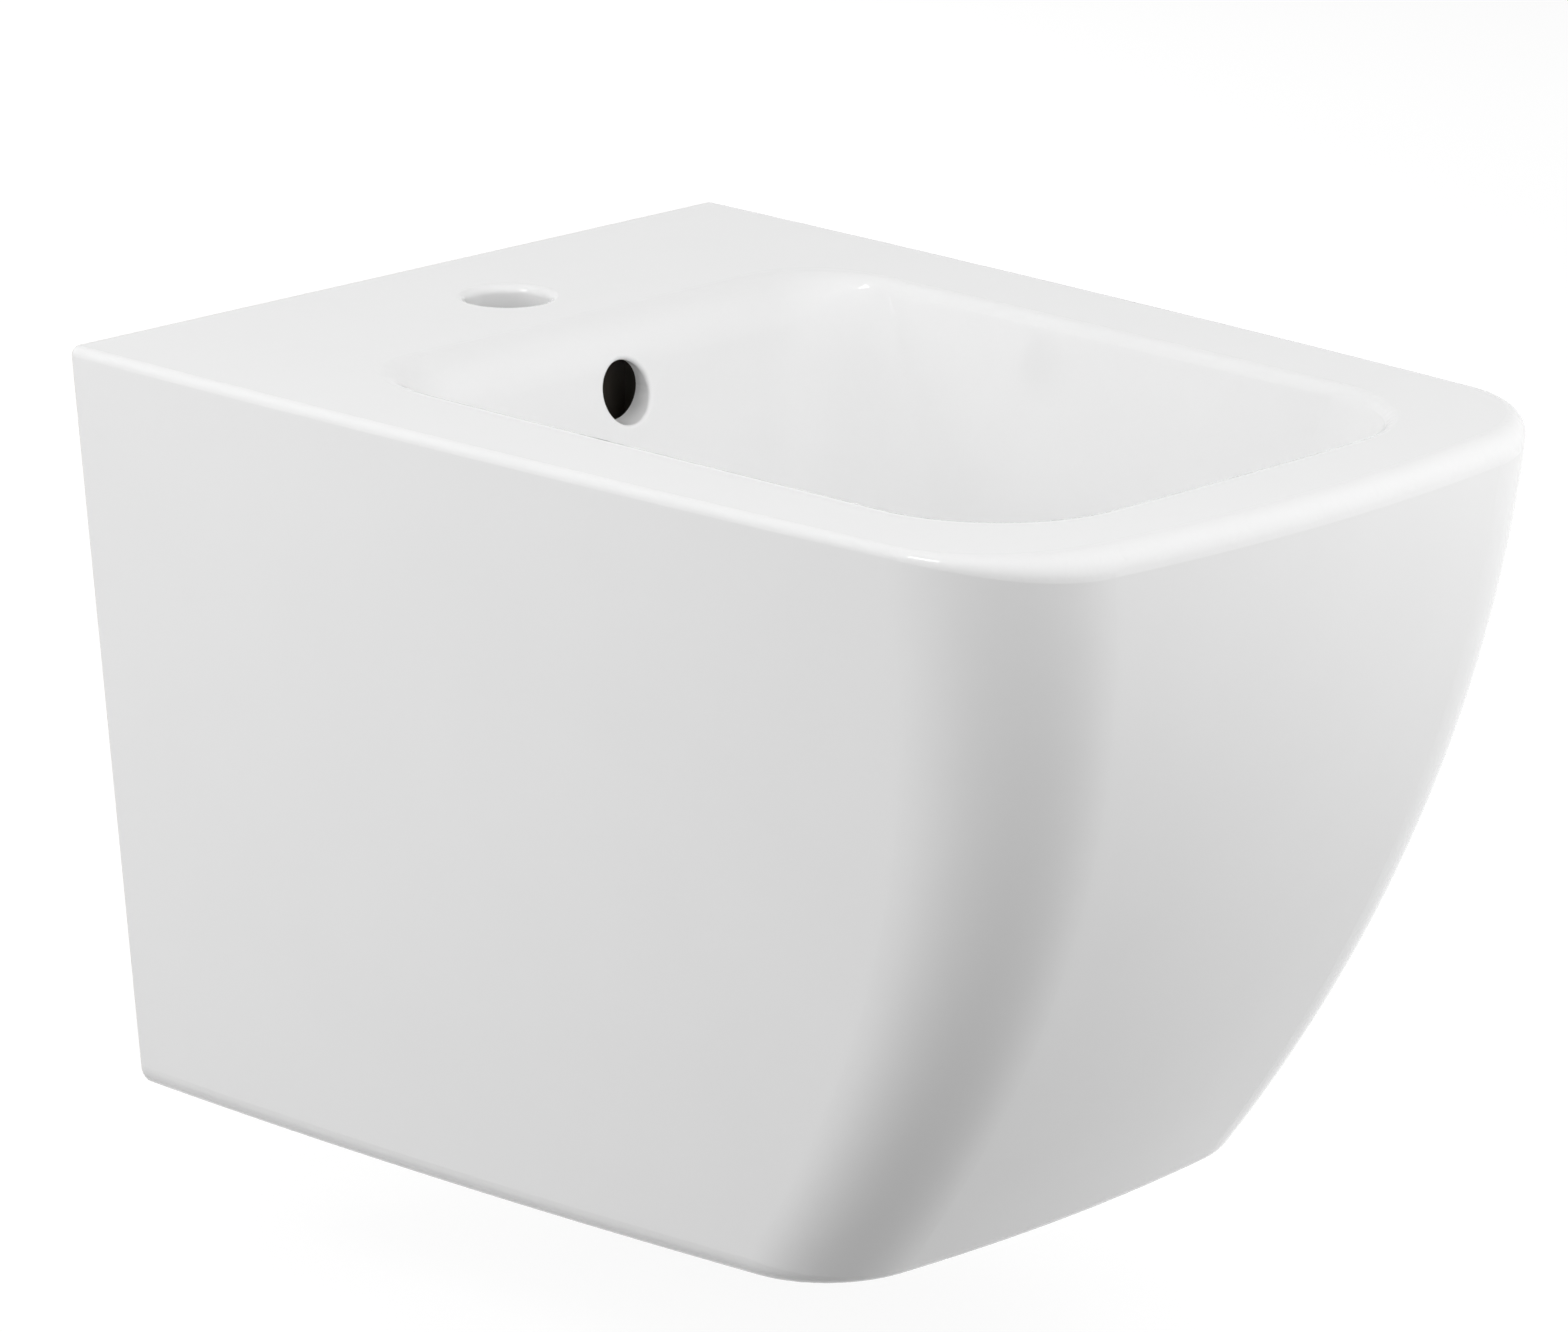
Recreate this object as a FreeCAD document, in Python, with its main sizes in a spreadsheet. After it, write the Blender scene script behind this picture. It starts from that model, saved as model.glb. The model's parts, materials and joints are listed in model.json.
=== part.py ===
import FreeCAD, Part
import math
import os
import re
import Sketcher

# Driving dimensions in millimetres. The wall is the plane y = 0, the front is towards -y,
# and z = 0 is the height of the two wall fixings.
SIZES = {
    # Outer form of the ceramic
    "rim_width": 360.0,
    "foot_width": 300.5,
    "body_depth": 492.0,
    "foot_depth": 368.0,
    "body_height": 316.0,
    "front_lean": 6.7,
    "side_bow_rim": 6300.0,
    "side_bow_foot": 2700.0,
    "front_bow_rim": 817.0,
    "front_bow_foot": 788.0,
    "corner_rim": 64.0,
    "corner_foot": 50.0,
    "rim_round": 3.6,
    "rim_front_round": 10.0,
    "foot_round": 11.0,
    "back_round": 14.0,
    "back_flat": 2.0,
    "skin": 9.5,
    "deck_thick": 13.0,
    "back_panel": 15.0,
    # Bowl
    "rim_side": 51.0,
    "rim_front": 46.0,
    "bowl_back": 120.5,
    "bowl_corner": 56.0,
    "bowl_back_corner": 26.0,
    "bowl_low_corner": 86.8,
    "bowl_low_back_corner": 72.8,
    "bowl_side_bow": 24000.0,
    "bowl_front_bow": 3200.0,
    "bowl_edge_round": 5.5,
    "bowl_back_round": 24.0,
    "bowl_wall_drop": 108.0,
    "bowl_draft": 15.0,
    "bowl_back_draft": 31.0,
    "bowl_front_draft": 18.0,
    "bowl_depth": 138.0,
    "bowl_sweep": 40.0,
    "seat_sweep": 22.0,
    "bowl_skin": 9.5,
    # Tap hole and overflow
    "tap_bore": 35.0,
    "tap_set": 60.0,
    "tap_edge_round": 3.5,
    "overflow_bore": 25.0,
    "overflow_drop": 28.0,
    "overflow_edge_round": 1.6,
    "duct_width": 40.0,
    "duct_gap": 14.0,
    "duct_skin": 8.0,
    "duct_turn": 30.0,
    # Waste seat in the ceramic
    "waste_set": 236.0,
    "waste_bore": 46.0,
    "waste_seat": 84.0,
    "waste_recess": 68.0,
    "waste_recess_drop": 3.0,
    "waste_boss": 32.0,
    # Openings for the pipes and for the hand
    "service_width": 112.0,
    "service_drop": 46.0,
    "service_corner": 24.0,
    "access_width": 212.0,
    "access_depth": 300.0,
    "access_corner": 44.0,
    # Wall fixing
    "fix_spacing": 180.0,
    "fix_drop": 76.0,
    "socket_bore": 40.0,
    "socket_depth": 62.0,
    "socket_skin": 10.0,
    "socket_round": 9.0,
    "stud_bore": 13.0,
    "stud_nut_room": 26.0,
    "stud_nut_depth": 17.0,
    "screw_set": 30.0,
    "screw_dia": 10.0,
    "screw_head": 17.0,
    "screw_point": 1.0,
    "thread_wall": 3.0,
    "screw_head_high": 6.0,
    "screw_key": 8.0,
    "liner_bore": 16.0,
    "liner_flange": 26.0,
    "liner_lip": 2.5,
    # Push-to-open waste
    "flange_dia": 64.0,
    "flange_lip": 3.0,
    "funnel_dia": 43.0,
    "funnel_drop": 6.0,
    "tail_dia": 41.5,
    "tail_bore": 35.0,
    "tail_length": 62.0,
    "slot_width": 20.0,
    "slot_high": 14.0,
    "seal_thick": 2.0,
    "seal_inset": 1.0,
    "under_seal_thick": 6.0,
    "under_seal_lap": 6.0,
    "thrust_thick": 2.5,
    "thrust_lap": 5.0,
    "nut_flats": 52.0,
    "nut_high": 10.0,
    "spider_drop": 44.0,
    "spider_thick": 5.0,
    "spider_arm": 4.0,
    "hub_dia": 20.0,
    "spigot_dia": 13.8,
    "latch_dia": 18.0,
    "latch_high": 30.0,
    "latch_bore": 10.4,
    "latch_lip": 3.0,
    "end_cap_lap": 2.0,
    "stem_dia": 6.0,
    "pivot_dia": 4.8,
    "stem_collar": 3.0,
    "rotor_high": 3.2,
    "spring_wire": 0.8,
    "spring_turns": 6.0,
    "plug_travel": 8.0,
    "cap_dia": 60.0,
    "cap_thick": 6.0,
    "cap_round": 3.6,
    "cap_lift": 1.2,
    "cap_boss": 28.0,
    "cap_socket": 14.0,
    "cap_socket_drop": 9.8,
    "plug_seal_thick": 3.0,
    # Bottle trap
    "pipe_dia": 32.0,
    "pipe_wall": 1.5,
    "union_dia": 54.0,
    "union_high": 20.0,
    "union_lip": 3.0,
    "collar_thick": 3.0,
    "union_seal": 3.0,
    "trap_dia": 58.0,
    "trap_wall": 3.0,
    "neck_wall": 5.0,
    "trap_high": 59.0,
    "trap_gap": 4.0,
    "branch_drop": 23.0,
    "branch_reach": 54.0,
    "cup_dia": 67.0,
    "cup_grip": 20.0,
    "cup_high": 48.0,
    "cup_round": 14.0,
    "cup_lap": 13.0,
    "branch_lap": 18.0,
    "branch_seal": 4.0,
    "stop_lip": 2.0,
    "dip_reach": 77.0,
    # Grip ribs on the plastic nuts
    "rib_wide": 3.0,
    "rib_proud": 1.2,
    # Clearances
    "slide_gap": 0.3,
    "screw_gap": 0.15,
}

doc = FreeCAD.newDocument("wall_hung_bidet")
sheet = doc.addObject("Spreadsheet::Sheet", "Sizes")
for row, (name, size) in enumerate(SIZES.items(), 1):
    sheet.set("A%d" % row, name)
    sheet.set("B%d" % row, str(size))
    sheet.setAlias("B%d" % row, name)
doc.recompute()


def cells(formula):
    """The formula with each driving dimension written as its spreadsheet cell."""
    return re.sub(r"[a-z_]+", lambda m: "Sizes." + m[0] if m[0] in SIZES else m[0], formula)


def value(formula):
    return float(sheet.evalExpression(cells(formula)))


def bind(thing, prop, formula):
    thing.setExpression(prop, cells(formula))


def plane(body, role):
    return [f for f in body.Origin.OriginFeatures if f.Role == role][0]


def new_body(label):
    body = doc.addObject("PartDesign::Body", label)
    body.Label = label
    return body


def new_sketch(body, name, role, level="0"):
    """An empty sketch on one of the body's own planes, moved along its normal."""
    sketch = body.newObject("Sketcher::SketchObject", name)
    sketch.AttachmentSupport = [(plane(body, role), "")]
    sketch.MapMode = "FlatFace"
    bind(sketch, "AttachmentOffset.Base.z", level)
    return sketch


def limit(sketch, kind, *where):
    """One constraint; a formula as the last argument makes it a size bound to the sheet."""
    if not isinstance(where[-1], str):
        return sketch.addConstraint(Sketcher.Constraint(kind, *where))
    index = sketch.addConstraint(Sketcher.Constraint(kind, *where[:-1], value(where[-1])))
    bind(sketch, "Constraints[%d]" % index, where[-1])
    return index


def flat(x, y):
    return FreeCAD.Vector(x, y, 0)


def arc_between(centre, radius, start, end):
    """The counter-clockwise arc from start to end."""
    turn = [math.atan2(p.y - centre.y, p.x - centre.x) for p in (start, end)]
    circle = Part.Circle(centre, FreeCAD.Vector(0, 0, 1), radius)
    return Part.ArcOfCircle(circle, turn[0], turn[1])


def rounded_plan(body, name, level, half, back, depth, side_bow, front_bow, corner, back_corner=None):
    """A plan outline: bowed sides, a bowed front, rounded front corners and a straight back."""
    sketch = new_sketch(body, name, "XY_Plane", level)
    h, b, d, rs, rf, rc = [value(f) for f in (half, back, depth, side_bow, front_bow, corner)]
    side, front = flat(rs - h, 0), flat(0, rf - d)
    # The front corner's centre lies inside both the side arc and the front arc
    across = front - side
    reach = across.Length
    along = ((rs - rc) ** 2 - (rf - rc) ** 2 + reach ** 2) / (2 * reach)
    away = math.sqrt((rs - rc) ** 2 - along ** 2)
    step = across / reach
    turns = [side + step * along + flat(-step.y, step.x) * (s * away) for s in (1, -1)]
    centre = min(turns, key=lambda p: p.x + p.y)
    on_side = side + (centre - side) * (rs / (centre - side).Length)
    on_front = front + (centre - front) * (rf / (centre - front).Length)
    rb = value(back_corner) if back_corner else 0.0
    tuck = flat(side.x - math.sqrt((rs - rb) ** 2 - (b + rb) ** 2), -b - rb)
    on_back = flat(tuck.x, -b)
    start = side + (tuck - side) * (rs / (tuck - side).Length) if rb else on_back

    def other(p):
        return flat(-p.x, p.y)

    edges = [
        arc_between(side, rs, start, on_side),
        arc_between(centre, rc, on_side, on_front),
        arc_between(front, rf, on_front, other(on_front)),
        arc_between(other(centre), rc, other(on_front), other(on_side)),
        arc_between(other(side), rs, other(on_side), other(start)),
    ]
    if rb:
        edges.append(arc_between(other(tuck), rb, other(start), other(on_back)))
    edges.append(Part.LineSegment(other(on_back), on_back))
    if rb:
        edges.append(arc_between(tuck, rb, on_back, start))
    sketch.addGeometry(edges, False)
    marks = [Part.Point(flat(-h, 0)), Part.Point(flat(h, 0)), Part.Point(flat(0, -d))]
    left, right, tip = sketch.addGeometry(marks, True)
    straight = 6 if rb else 5
    for i in range(len(edges)):
        j = (i + 1) % len(edges)
        joined = rb or (i < 4)
        limit(sketch, "Tangent" if joined else "Coincident", i, 2, j, 1)
    limit(sketch, "Horizontal", straight)
    limit(sketch, "DistanceY", straight, 1, -1, 1, back)
    for arc, mark, way in ((0, left, 1), (4, right, -1)):
        limit(sketch, "PointOnObject", arc, 3, -1)
        limit(sketch, "PointOnObject", mark, 1, arc)
        limit(sketch, "PointOnObject", mark, 1, -1)
        ends = (mark, 1, -1, 1) if way > 0 else (-1, 1, mark, 1)
        limit(sketch, "DistanceX", *ends, half)
    limit(sketch, "Radius", 0, side_bow)
    limit(sketch, "Equal", 0, 4)
    limit(sketch, "PointOnObject", 2, 3, -2)
    limit(sketch, "PointOnObject", tip, 1, 2)
    limit(sketch, "PointOnObject", tip, 1, -2)
    limit(sketch, "DistanceY", tip, 1, -1, 1, depth)
    limit(sketch, "Radius", 2, front_bow)
    limit(sketch, "Radius", 1, corner)
    limit(sketch, "Equal", 1, 3)
    if rb:
        limit(sketch, "Radius", 5, back_corner)
        limit(sketch, "Equal", 5, 7)
    return sketch


def polygon(sketch, points):
    """A closed outline of straight edges whose corners are bound to the sheet."""
    spots = [flat(value(x), value(y)) for x, y in points]
    lines = [Part.LineSegment(p, spots[(i + 1) % len(spots)]) for i, p in enumerate(spots)]
    sketch.addGeometry(lines, False)
    for i, (x, y) in enumerate(points):
        limit(sketch, "Coincident", i, 2, (i + 1) % len(points), 1)
        limit(sketch, "DistanceX", -1, 1, i, 1, x)
        limit(sketch, "DistanceY", -1, 1, i, 1, y)
    return sketch


def loft(body, kind, name, sections, ruled=False):
    feature = body.newObject("PartDesign::" + kind, name)
    feature.Profile = sections[0]
    feature.Sections = sections[1:]
    feature.Ruled = ruled
    doc.recompute()
    return feature


def round_edges(body, name, radius, wanted):
    """A fillet on the edges of the body's tip that the test picks out."""
    tip = body.Tip
    picked = ["Edge%d" % (i + 1) for i, e in enumerate(tip.Shape.Edges) if wanted(e)]
    feature = body.newObject("PartDesign::Fillet", name)
    feature.Base = (tip, picked)
    bind(feature, "Radius", radius)
    doc.recompute()
    return feature


# Ceramic body: the names and tests that its steps share
ceramic = new_body("ceramic_body")
RIM = "fix_drop"
FOOT = "(fix_drop - body_height)"


def mix(rim, foot, share):
    return "(%s + (%s - %s) * %s)" % (rim, foot, rim, share)


def bow_at(kind, share):
    return "(1 / ((1 - %s) / %s_bow_rim + %s / %s_bow_foot))" % (share, kind, share, kind)


def skin_plan(name, share, inset, back, back_corner):
    """The plan of the outer skin at a share of the way down, moved inwards by inset."""
    drawn = "(front_lean * %s + (body_depth - foot_depth - front_lean) * %s * %s)" % (share, share, share)
    return rounded_plan(
        ceramic,
        name,
        "%s - body_height * %s" % (RIM, share),
        "%s / 2 - %s" % (mix("rim_width", "foot_width", share), inset),
        back,
        "body_depth - %s - %s" % (drawn, inset),
        "%s - %s" % (bow_at("side", share), inset),
        "%s - %s" % (bow_at("front", share), inset),
        "%s - %s" % (mix("corner_rim", "corner_foot", share), inset),
        back_corner,
    )


def solid_step(body, kind, name, sizes, at, turn=None):
    """A box or cylinder added to or cut from a body, with its sizes and place bound to the sheet."""
    feature = body.newObject("PartDesign::" + kind, name)
    for prop, formula in sizes.items():
        bind(feature, prop, formula)
    if turn:
        feature.Placement = FreeCAD.Placement(FreeCAD.Vector(0, 0, 0), turn)
    for axis, formula in zip("xyz", at):
        bind(feature, "Placement.Base." + axis, formula)
    doc.recompute()
    return feature


def near(a, b):
    return abs(a - b) < 1e-3


def level_edge(level):
    """A test for edges whose ends lie at a height."""
    z = value(level)
    return lambda edge: all(near(v.Z, z) for v in edge.Vertexes)


# Ceramic body: the outer form, a loft through five plans from the rim to the foot
TO_WALL = FreeCAD.Rotation(FreeCAD.Vector(1, 0, 0), -90)
SHARES = ("0", "0.25", "0.5", "0.75", "1")
outer = [skin_plan("outer_plan_%d" % i, s, "0", "-back_flat", None) for i, s in enumerate(SHARES)]
loft(ceramic, "AdditiveLoft", "outer_form", outer)
round_edges(ceramic, "foot_edge", "foot_round", lambda e: level_edge(FOOT)(e) and e.CenterOfMass.y < 0)
solid_step(
    ceramic,
    "SubtractiveBox",
    "wall_plane",
    {"Length": "rim_width * 2", "Width": "back_flat * 2", "Height": "body_height * 2"},
    ("-rim_width", "0", RIM + " - body_height * 1.5"),
)

# Ceramic body: the hollow inside the skin
SHALLOW = "(deck_thick / body_height)"
DEEP = "(1 - skin / body_height)"
hollow = [
    skin_plan("hollow_plan_%d" % i, mix(SHALLOW, DEEP, s), "skin", "back_panel", "back_round")
    for i, s in enumerate(SHARES)
]
loft(ceramic, "SubtractiveLoft", "hollow", hollow)


BOWL_HALF = "(rim_width / 2 - rim_side)"
BOWL_FRONT = "(body_depth - rim_front)"


def bowl_plans(name, grow, top):
    """Three plans of the bowl, from the rim to the waste seat, moved outwards by grow."""
    level = (top, "bowl_wall_drop + %s * 0.6" % grow, "bowl_depth + " + grow)
    half = (BOWL_HALF, BOWL_HALF + " - bowl_draft", "waste_seat / 2")
    back = ("bowl_back", "bowl_back + bowl_back_draft", "waste_set - waste_seat / 2")
    front = (BOWL_FRONT, BOWL_FRONT + " - bowl_front_draft", "waste_set + waste_seat / 2")
    corner = ("bowl_corner", "bowl_low_corner", "waste_seat * 0.46")
    tuck = ("bowl_back_corner", "bowl_low_back_corner", "waste_seat * 0.46")
    return [
        rounded_plan(
            ceramic,
            "%s_%d" % (name, i),
            "%s - (%s)" % (RIM, level[i]),
            "%s + %s" % (half[i], grow),
            "%s - %s" % (back[i], grow),
            "%s + %s" % (front[i], grow),
            "bowl_side_bow + " + grow,
            "bowl_front_bow + " + grow,
            "%s + %s" % (corner[i], grow),
            "%s + %s" % (tuck[i], grow),
        )
        for i in range(3)
    ]


# Ceramic body: the bowl's skin, the overflow duct behind it, the waste boss and the fixing sockets
SEAT = "(fix_drop - bowl_depth)"
THROAT = "(fix_drop - bowl_depth - waste_boss)"
DUCT_SET = "(bowl_back + bowl_back_draft * overflow_drop / bowl_wall_drop - duct_skin - duct_gap / 2)"
DUCT_LOW = "(fix_drop - bowl_depth - waste_boss + duct_skin + duct_gap / 2)"
skins = bowl_plans("bowl_skin_plan", "bowl_skin", "deck_thick / 2")
loft(ceramic, "AdditiveLoft", "bowl_skin_form", skins, True)


def duct(kind, name, wide, deep, top, end):
    """The overflow duct: down behind the bowl, then forwards under it to the waste throat."""
    section = new_sketch(ceramic, name + "_section", "XY_Plane", top)
    corners = ((-1, -1), (1, -1), (1, 1), (-1, 1))
    spots = [("%d * %s / 2" % (x, wide), "-%s + %d * %s / 2" % (DUCT_SET, y, deep)) for x, y in corners]
    polygon(section, spots)
    path = new_sketch(ceramic, name + "_path", "YZ_Plane")
    back, low, turn = value("-" + DUCT_SET), value(DUCT_LOW), value("duct_turn")
    path.addGeometry(Part.LineSegment(flat(back, value(top)), flat(back, low + turn)), False)
    bend = arc_between(flat(back - turn, low + turn), turn, flat(back - turn, low), flat(back, low + turn))
    path.addGeometry(bend, False)
    path.addGeometry(Part.LineSegment(flat(back - turn, low), flat(value(end), low)), False)
    limit(path, "Vertical", 0)
    limit(path, "Horizontal", 2)
    limit(path, "Tangent", 0, 2, 1, 2)
    limit(path, "Tangent", 1, 1, 2, 1)
    limit(path, "Radius", 1, "duct_turn")
    limit(path, "DistanceX", -1, 1, 0, 1, "-" + DUCT_SET)
    limit(path, "DistanceY", -1, 1, 0, 1, top)
    limit(path, "DistanceX", -1, 1, 2, 2, end)
    limit(path, "DistanceY", -1, 1, 2, 2, DUCT_LOW)
    doc.recompute()
    feature = ceramic.newObject("PartDesign::" + kind, name)
    feature.Profile = section
    feature.Spine = (path, ["Edge1", "Edge2", "Edge3"])
    doc.recompute()


duct(
    "AdditivePipe",
    "duct_skin_form",
    "(duct_width + duct_skin * 2)",
    "(duct_gap + duct_skin * 2)",
    "(fix_drop - deck_thick / 2)",
    "-waste_set",
)
solid_step(
    ceramic,
    "AdditiveCylinder",
    "waste_boss_form",
    {"Radius": "waste_seat / 2", "Height": "waste_boss"},
    ("0", "-waste_set", THROAT),
)
for side, sign in (("left", "-1"), ("right", "1")):
    solid_step(
        ceramic,
        "AdditiveBox",
        side + "_socket_form",
        {
            "Length": "socket_bore + socket_skin * 2",
            "Width": "socket_depth + socket_skin",
            "Height": "socket_bore + socket_skin * 2",
        },
        (
            "%s * fix_spacing / 2 - socket_bore / 2 - socket_skin" % sign,
            "-socket_depth - socket_skin",
            "-socket_bore / 2 - socket_skin",
        ),
    )


def socket_corner(edge):
    """The long edges of the socket blocks, which run towards the wall."""
    reach = value("socket_bore / 2 + socket_skin")
    start, end = edge.Vertexes[0], edge.Vertexes[-1]
    along = near(start.Z, end.Z) and near(start.X, end.X)
    return along and near(abs(start.Z), reach) and near(abs(abs(start.X) - value("fix_spacing / 2")), reach)


round_edges(ceramic, "socket_corners", "socket_round", socket_corner)

# Ceramic body: the space in the bowl, swept into the floor
loft(ceramic, "SubtractiveLoft", "bowl_space", bowl_plans("bowl_plan", "0", "0"), True)
round_edges(ceramic, "bowl_floor_sweep", "bowl_sweep", level_edge(RIM + " - bowl_wall_drop"))
round_edges(ceramic, "bowl_seat_sweep", "seat_sweep", level_edge(SEAT))
duct(
    "SubtractivePipe",
    "duct_space",
    "duct_width",
    "duct_gap",
    "(fix_drop - overflow_drop + overflow_bore / 2)",
    "-waste_set",
)

# Ceramic body: the waste throat, the tap hole, the sockets and the service openings
solid_step(
    ceramic,
    "SubtractiveCylinder",
    "waste_throat",
    {"Radius": "waste_bore / 2", "Height": "waste_boss * 2"},
    ("0", "-waste_set", THROAT + " - waste_boss / 2"),
)
solid_step(
    ceramic,
    "SubtractiveCylinder",
    "waste_flange_recess",
    {"Radius": "waste_recess / 2", "Height": "waste_recess_drop * 4"},
    ("0", "-waste_set", SEAT + " - waste_recess_drop"),
)
solid_step(
    ceramic,
    "SubtractiveCylinder",
    "tap_hole",
    {"Radius": "tap_bore / 2", "Height": "deck_thick * 2"},
    ("0", "-tap_set", RIM + " - deck_thick * 1.5"),
)
for side, sign in (("left", "-1"), ("right", "1")):
    solid_step(
        ceramic,
        "SubtractiveCylinder",
        side + "_socket",
        {"Radius": "socket_bore / 2", "Height": "socket_depth + back_round"},
        ("%s * fix_spacing / 2" % sign, "-socket_depth", "0"),
        TO_WALL,
    )
    solid_step(
        ceramic,
        "SubtractiveCylinder",
        side + "_screw_hole",
        {"Radius": "liner_bore / 2", "Height": "socket_bore * 1.5"},
        ("%s * fix_spacing / 2" % sign, "-screw_set", "-socket_bore * 1.5"),
    )
THROUGH = "back_panel + back_round"
BEHIND = "-back_panel - back_round / 2"
ARCH = "(-service_drop - service_corner)"
for name, wide, top in (
    ("service_opening", "service_width", ARCH),
    ("service_crown", "(service_width - service_corner * 2)", "-service_drop"),
):
    solid_step(
        ceramic,
        "SubtractiveBox",
        name,
        {"Length": wide, "Width": THROUGH, "Height": "(%s) - %s + skin" % (top, FOOT)},
        ("-%s / 2" % wide, BEHIND, FOOT + " - skin"),
    )
for side, sign in (("left", "-1"), ("right", "1")):
    solid_step(
        ceramic,
        "SubtractiveCylinder",
        side + "_service_corner",
        {"Radius": "service_corner", "Height": THROUGH},
        ("%s * (service_width / 2 - service_corner)" % sign, BEHIND, ARCH),
        TO_WALL,
    )
access = rounded_plan(
    ceramic,
    "access_plan",
    FOOT + " + skin * 1.5",
    "access_width / 2",
    "back_panel",
    "access_depth",
    "side_bow_foot",
    "front_bow_foot",
    "access_corner",
    "access_corner / 2",
)
opening = ceramic.newObject("PartDesign::Pocket", "access_opening")
opening.Profile = access
bind(opening, "Length", "skin * 2")
doc.recompute()
round_edges(
    ceramic,
    "tap_hole_edge",
    "tap_edge_round",
    lambda e: level_edge(RIM)(e) and near(e.CenterOfMass.y, -value("tap_set")),
)

# Ceramic body: the rim's outer edge, softer in front, and the bowl's edge, softer at the deck
ceramic.Label = "ceramic_blank"
edge = doc.addObject("Part::Fillet", "deck_edges")
edge.Base = ceramic
inside = [value(f) for f in (BOWL_HALF + " + 1", "-bowl_back + 1", "-%s - 1" % BOWL_FRONT)]
front = value("corner_rim / 2 - body_depth")


def deck_round(p):
    """The rounding at a point of the deck's outline."""
    if abs(p.x) < inside[0] and inside[2] < p.y < inside[1]:
        return value("bowl_back_round" if near(p.y, -value("bowl_back")) else "bowl_edge_round")
    return value("rim_front_round" if p.y < front else "rim_round")


rounds = []
for i, e in enumerate(ceramic.Shape.Edges, 1):
    spots = [v.Point for v in e.Vertexes]
    outline = all(near(p.z, value(RIM)) for p in spots) and e.CenterOfMass.y < -value("tap_set + tap_bore")
    if outline:
        first, last = [deck_round(p) for p in spots]
        rounds.append((i, first, last))
edge.Edges = rounds
overflow = doc.addObject("Part::Cylinder", "overflow_bore_form")
bind(overflow, "Radius", "overflow_bore / 2")
bind(overflow, "Height", "bowl_back + bowl_back_corner - " + DUCT_SET)
overflow.Placement = FreeCAD.Placement(FreeCAD.Vector(0, 0, 0), TO_WALL)
bind(overflow, "Placement.Base.y", "-bowl_back - bowl_back_corner")
bind(overflow, "Placement.Base.z", RIM + " - overflow_drop")
pierced = doc.addObject("Part::Cut", "overflow_hole")
pierced.Base = edge
pierced.Tool = overflow
doc.recompute()


def overflow_edge(e):
    """The edge of the overflow on the bowl's side, not the one on the duct's side."""
    spots = [v.Point for v in e.Vertexes] + [e.valueAt((e.FirstParameter + e.LastParameter) / 2)]
    away = [math.hypot(p.x, p.z - value(RIM + " - overflow_drop")) for p in spots]
    inside = value("-%s - duct_gap / 2 - duct_skin / 4" % DUCT_SET)
    return all(near(r, value("overflow_bore / 2")) for r in away) and all(p.y < inside for p in spots)


china = doc.addObject("Part::Fillet", "ceramic_body_form")
china.Base = pierced
soft_edge = value("overflow_edge_round")
china.Edges = [(i, soft_edge, soft_edge) for i, e in enumerate(pierced.Shape.Edges, 1) if overflow_edge(e)]
china.Label = "ceramic_body"
doc.recompute()


def place(body, at, turn=None):
    if turn:
        body.Placement = FreeCAD.Placement(FreeCAD.Vector(0, 0, 0), turn)
    for axis, formula in zip("xyz", at):
        bind(body, "Placement.Base." + axis, formula)


def turned(label, profile, at, turn=None):
    """A turned piece: a profile of radius and height, spun about the body's own z axis."""
    body = new_body(label)
    sketch = polygon(new_sketch(body, label + "_profile", "XZ_Plane"), profile)
    spin = body.newObject("PartDesign::Revolution", label + "_spin")
    spin.Profile = sketch
    spin.ReferenceAxis = (sketch, ["V_Axis"])
    spin.Angle = 360
    place(body, at, turn)
    doc.recompute()
    return body


def ring(label, inner, outer_radius, low, high, at, turn=None):
    profile = [(inner, low), (outer_radius, low), (outer_radius, high), (inner, high)]
    return turned(label, profile, at, turn)


def grip_ribs(body, radius, low, high, count):
    """Ribs for the hand around a turned piece."""
    rib = solid_step(
        body,
        "AdditiveBox",
        body.Label + "_rib",
        {"Length": "rib_proud * 2", "Width": "rib_wide", "Height": "(%s) - (%s)" % (high, low)},
        ("%s - rib_proud" % radius, "-rib_wide / 2", low),
    )
    around = body.newObject("PartDesign::PolarPattern", body.Label + "_ribs")
    around.Originals = [rib]
    around.Axis = (plane(body, "Z_Axis"), [""])
    around.Angle = 360
    around.Occurrences = count
    body.Tip = around
    doc.recompute()


def pair(label, body):
    """The piece and its mirror image across the middle, as one group of two solids."""
    body.Label = label + "_right"
    twin = doc.addObject("Part::Mirroring", label + "_left")
    twin.Source = body
    twin.Normal = FreeCAD.Vector(1, 0, 0)
    group = doc.addObject("Part::Compound", label + "_group")
    group.Links = [body, twin]
    group.Label = label
    doc.recompute()
    return group


# Concealed wall fixing: blocks on the wall's studs, pulled in by screws from below
FIX = ("fix_spacing / 2", "0", "0")
BLOCK = "(socket_bore / 2 - slide_gap)"
block = turned(
    "fixing_block",
    [
        ("stud_bore / 2", "0"),
        (BLOCK, "0"),
        (BLOCK, "-socket_depth + slide_gap"),
        ("stud_nut_room / 2", "-socket_depth + slide_gap"),
        ("stud_nut_room / 2", "-socket_depth + stud_nut_depth"),
        ("stud_bore / 2", "-socket_depth + stud_nut_depth"),
    ],
    FIX,
    TO_WALL,
)
solid_step(
    block,
    "SubtractiveCylinder",
    "fixing_block_thread",
    {"Radius": "screw_dia / 2 + screw_gap", "Height": BLOCK},
    ("0", "stud_bore / 2 + thread_wall", "-screw_set"),
    TO_WALL,
)
pair("fixing_blocks", block)
SOCKET_LOW = "(-socket_bore / 2 - socket_skin)"
PULL = ("fix_spacing / 2", "-screw_set", "0")
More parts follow.
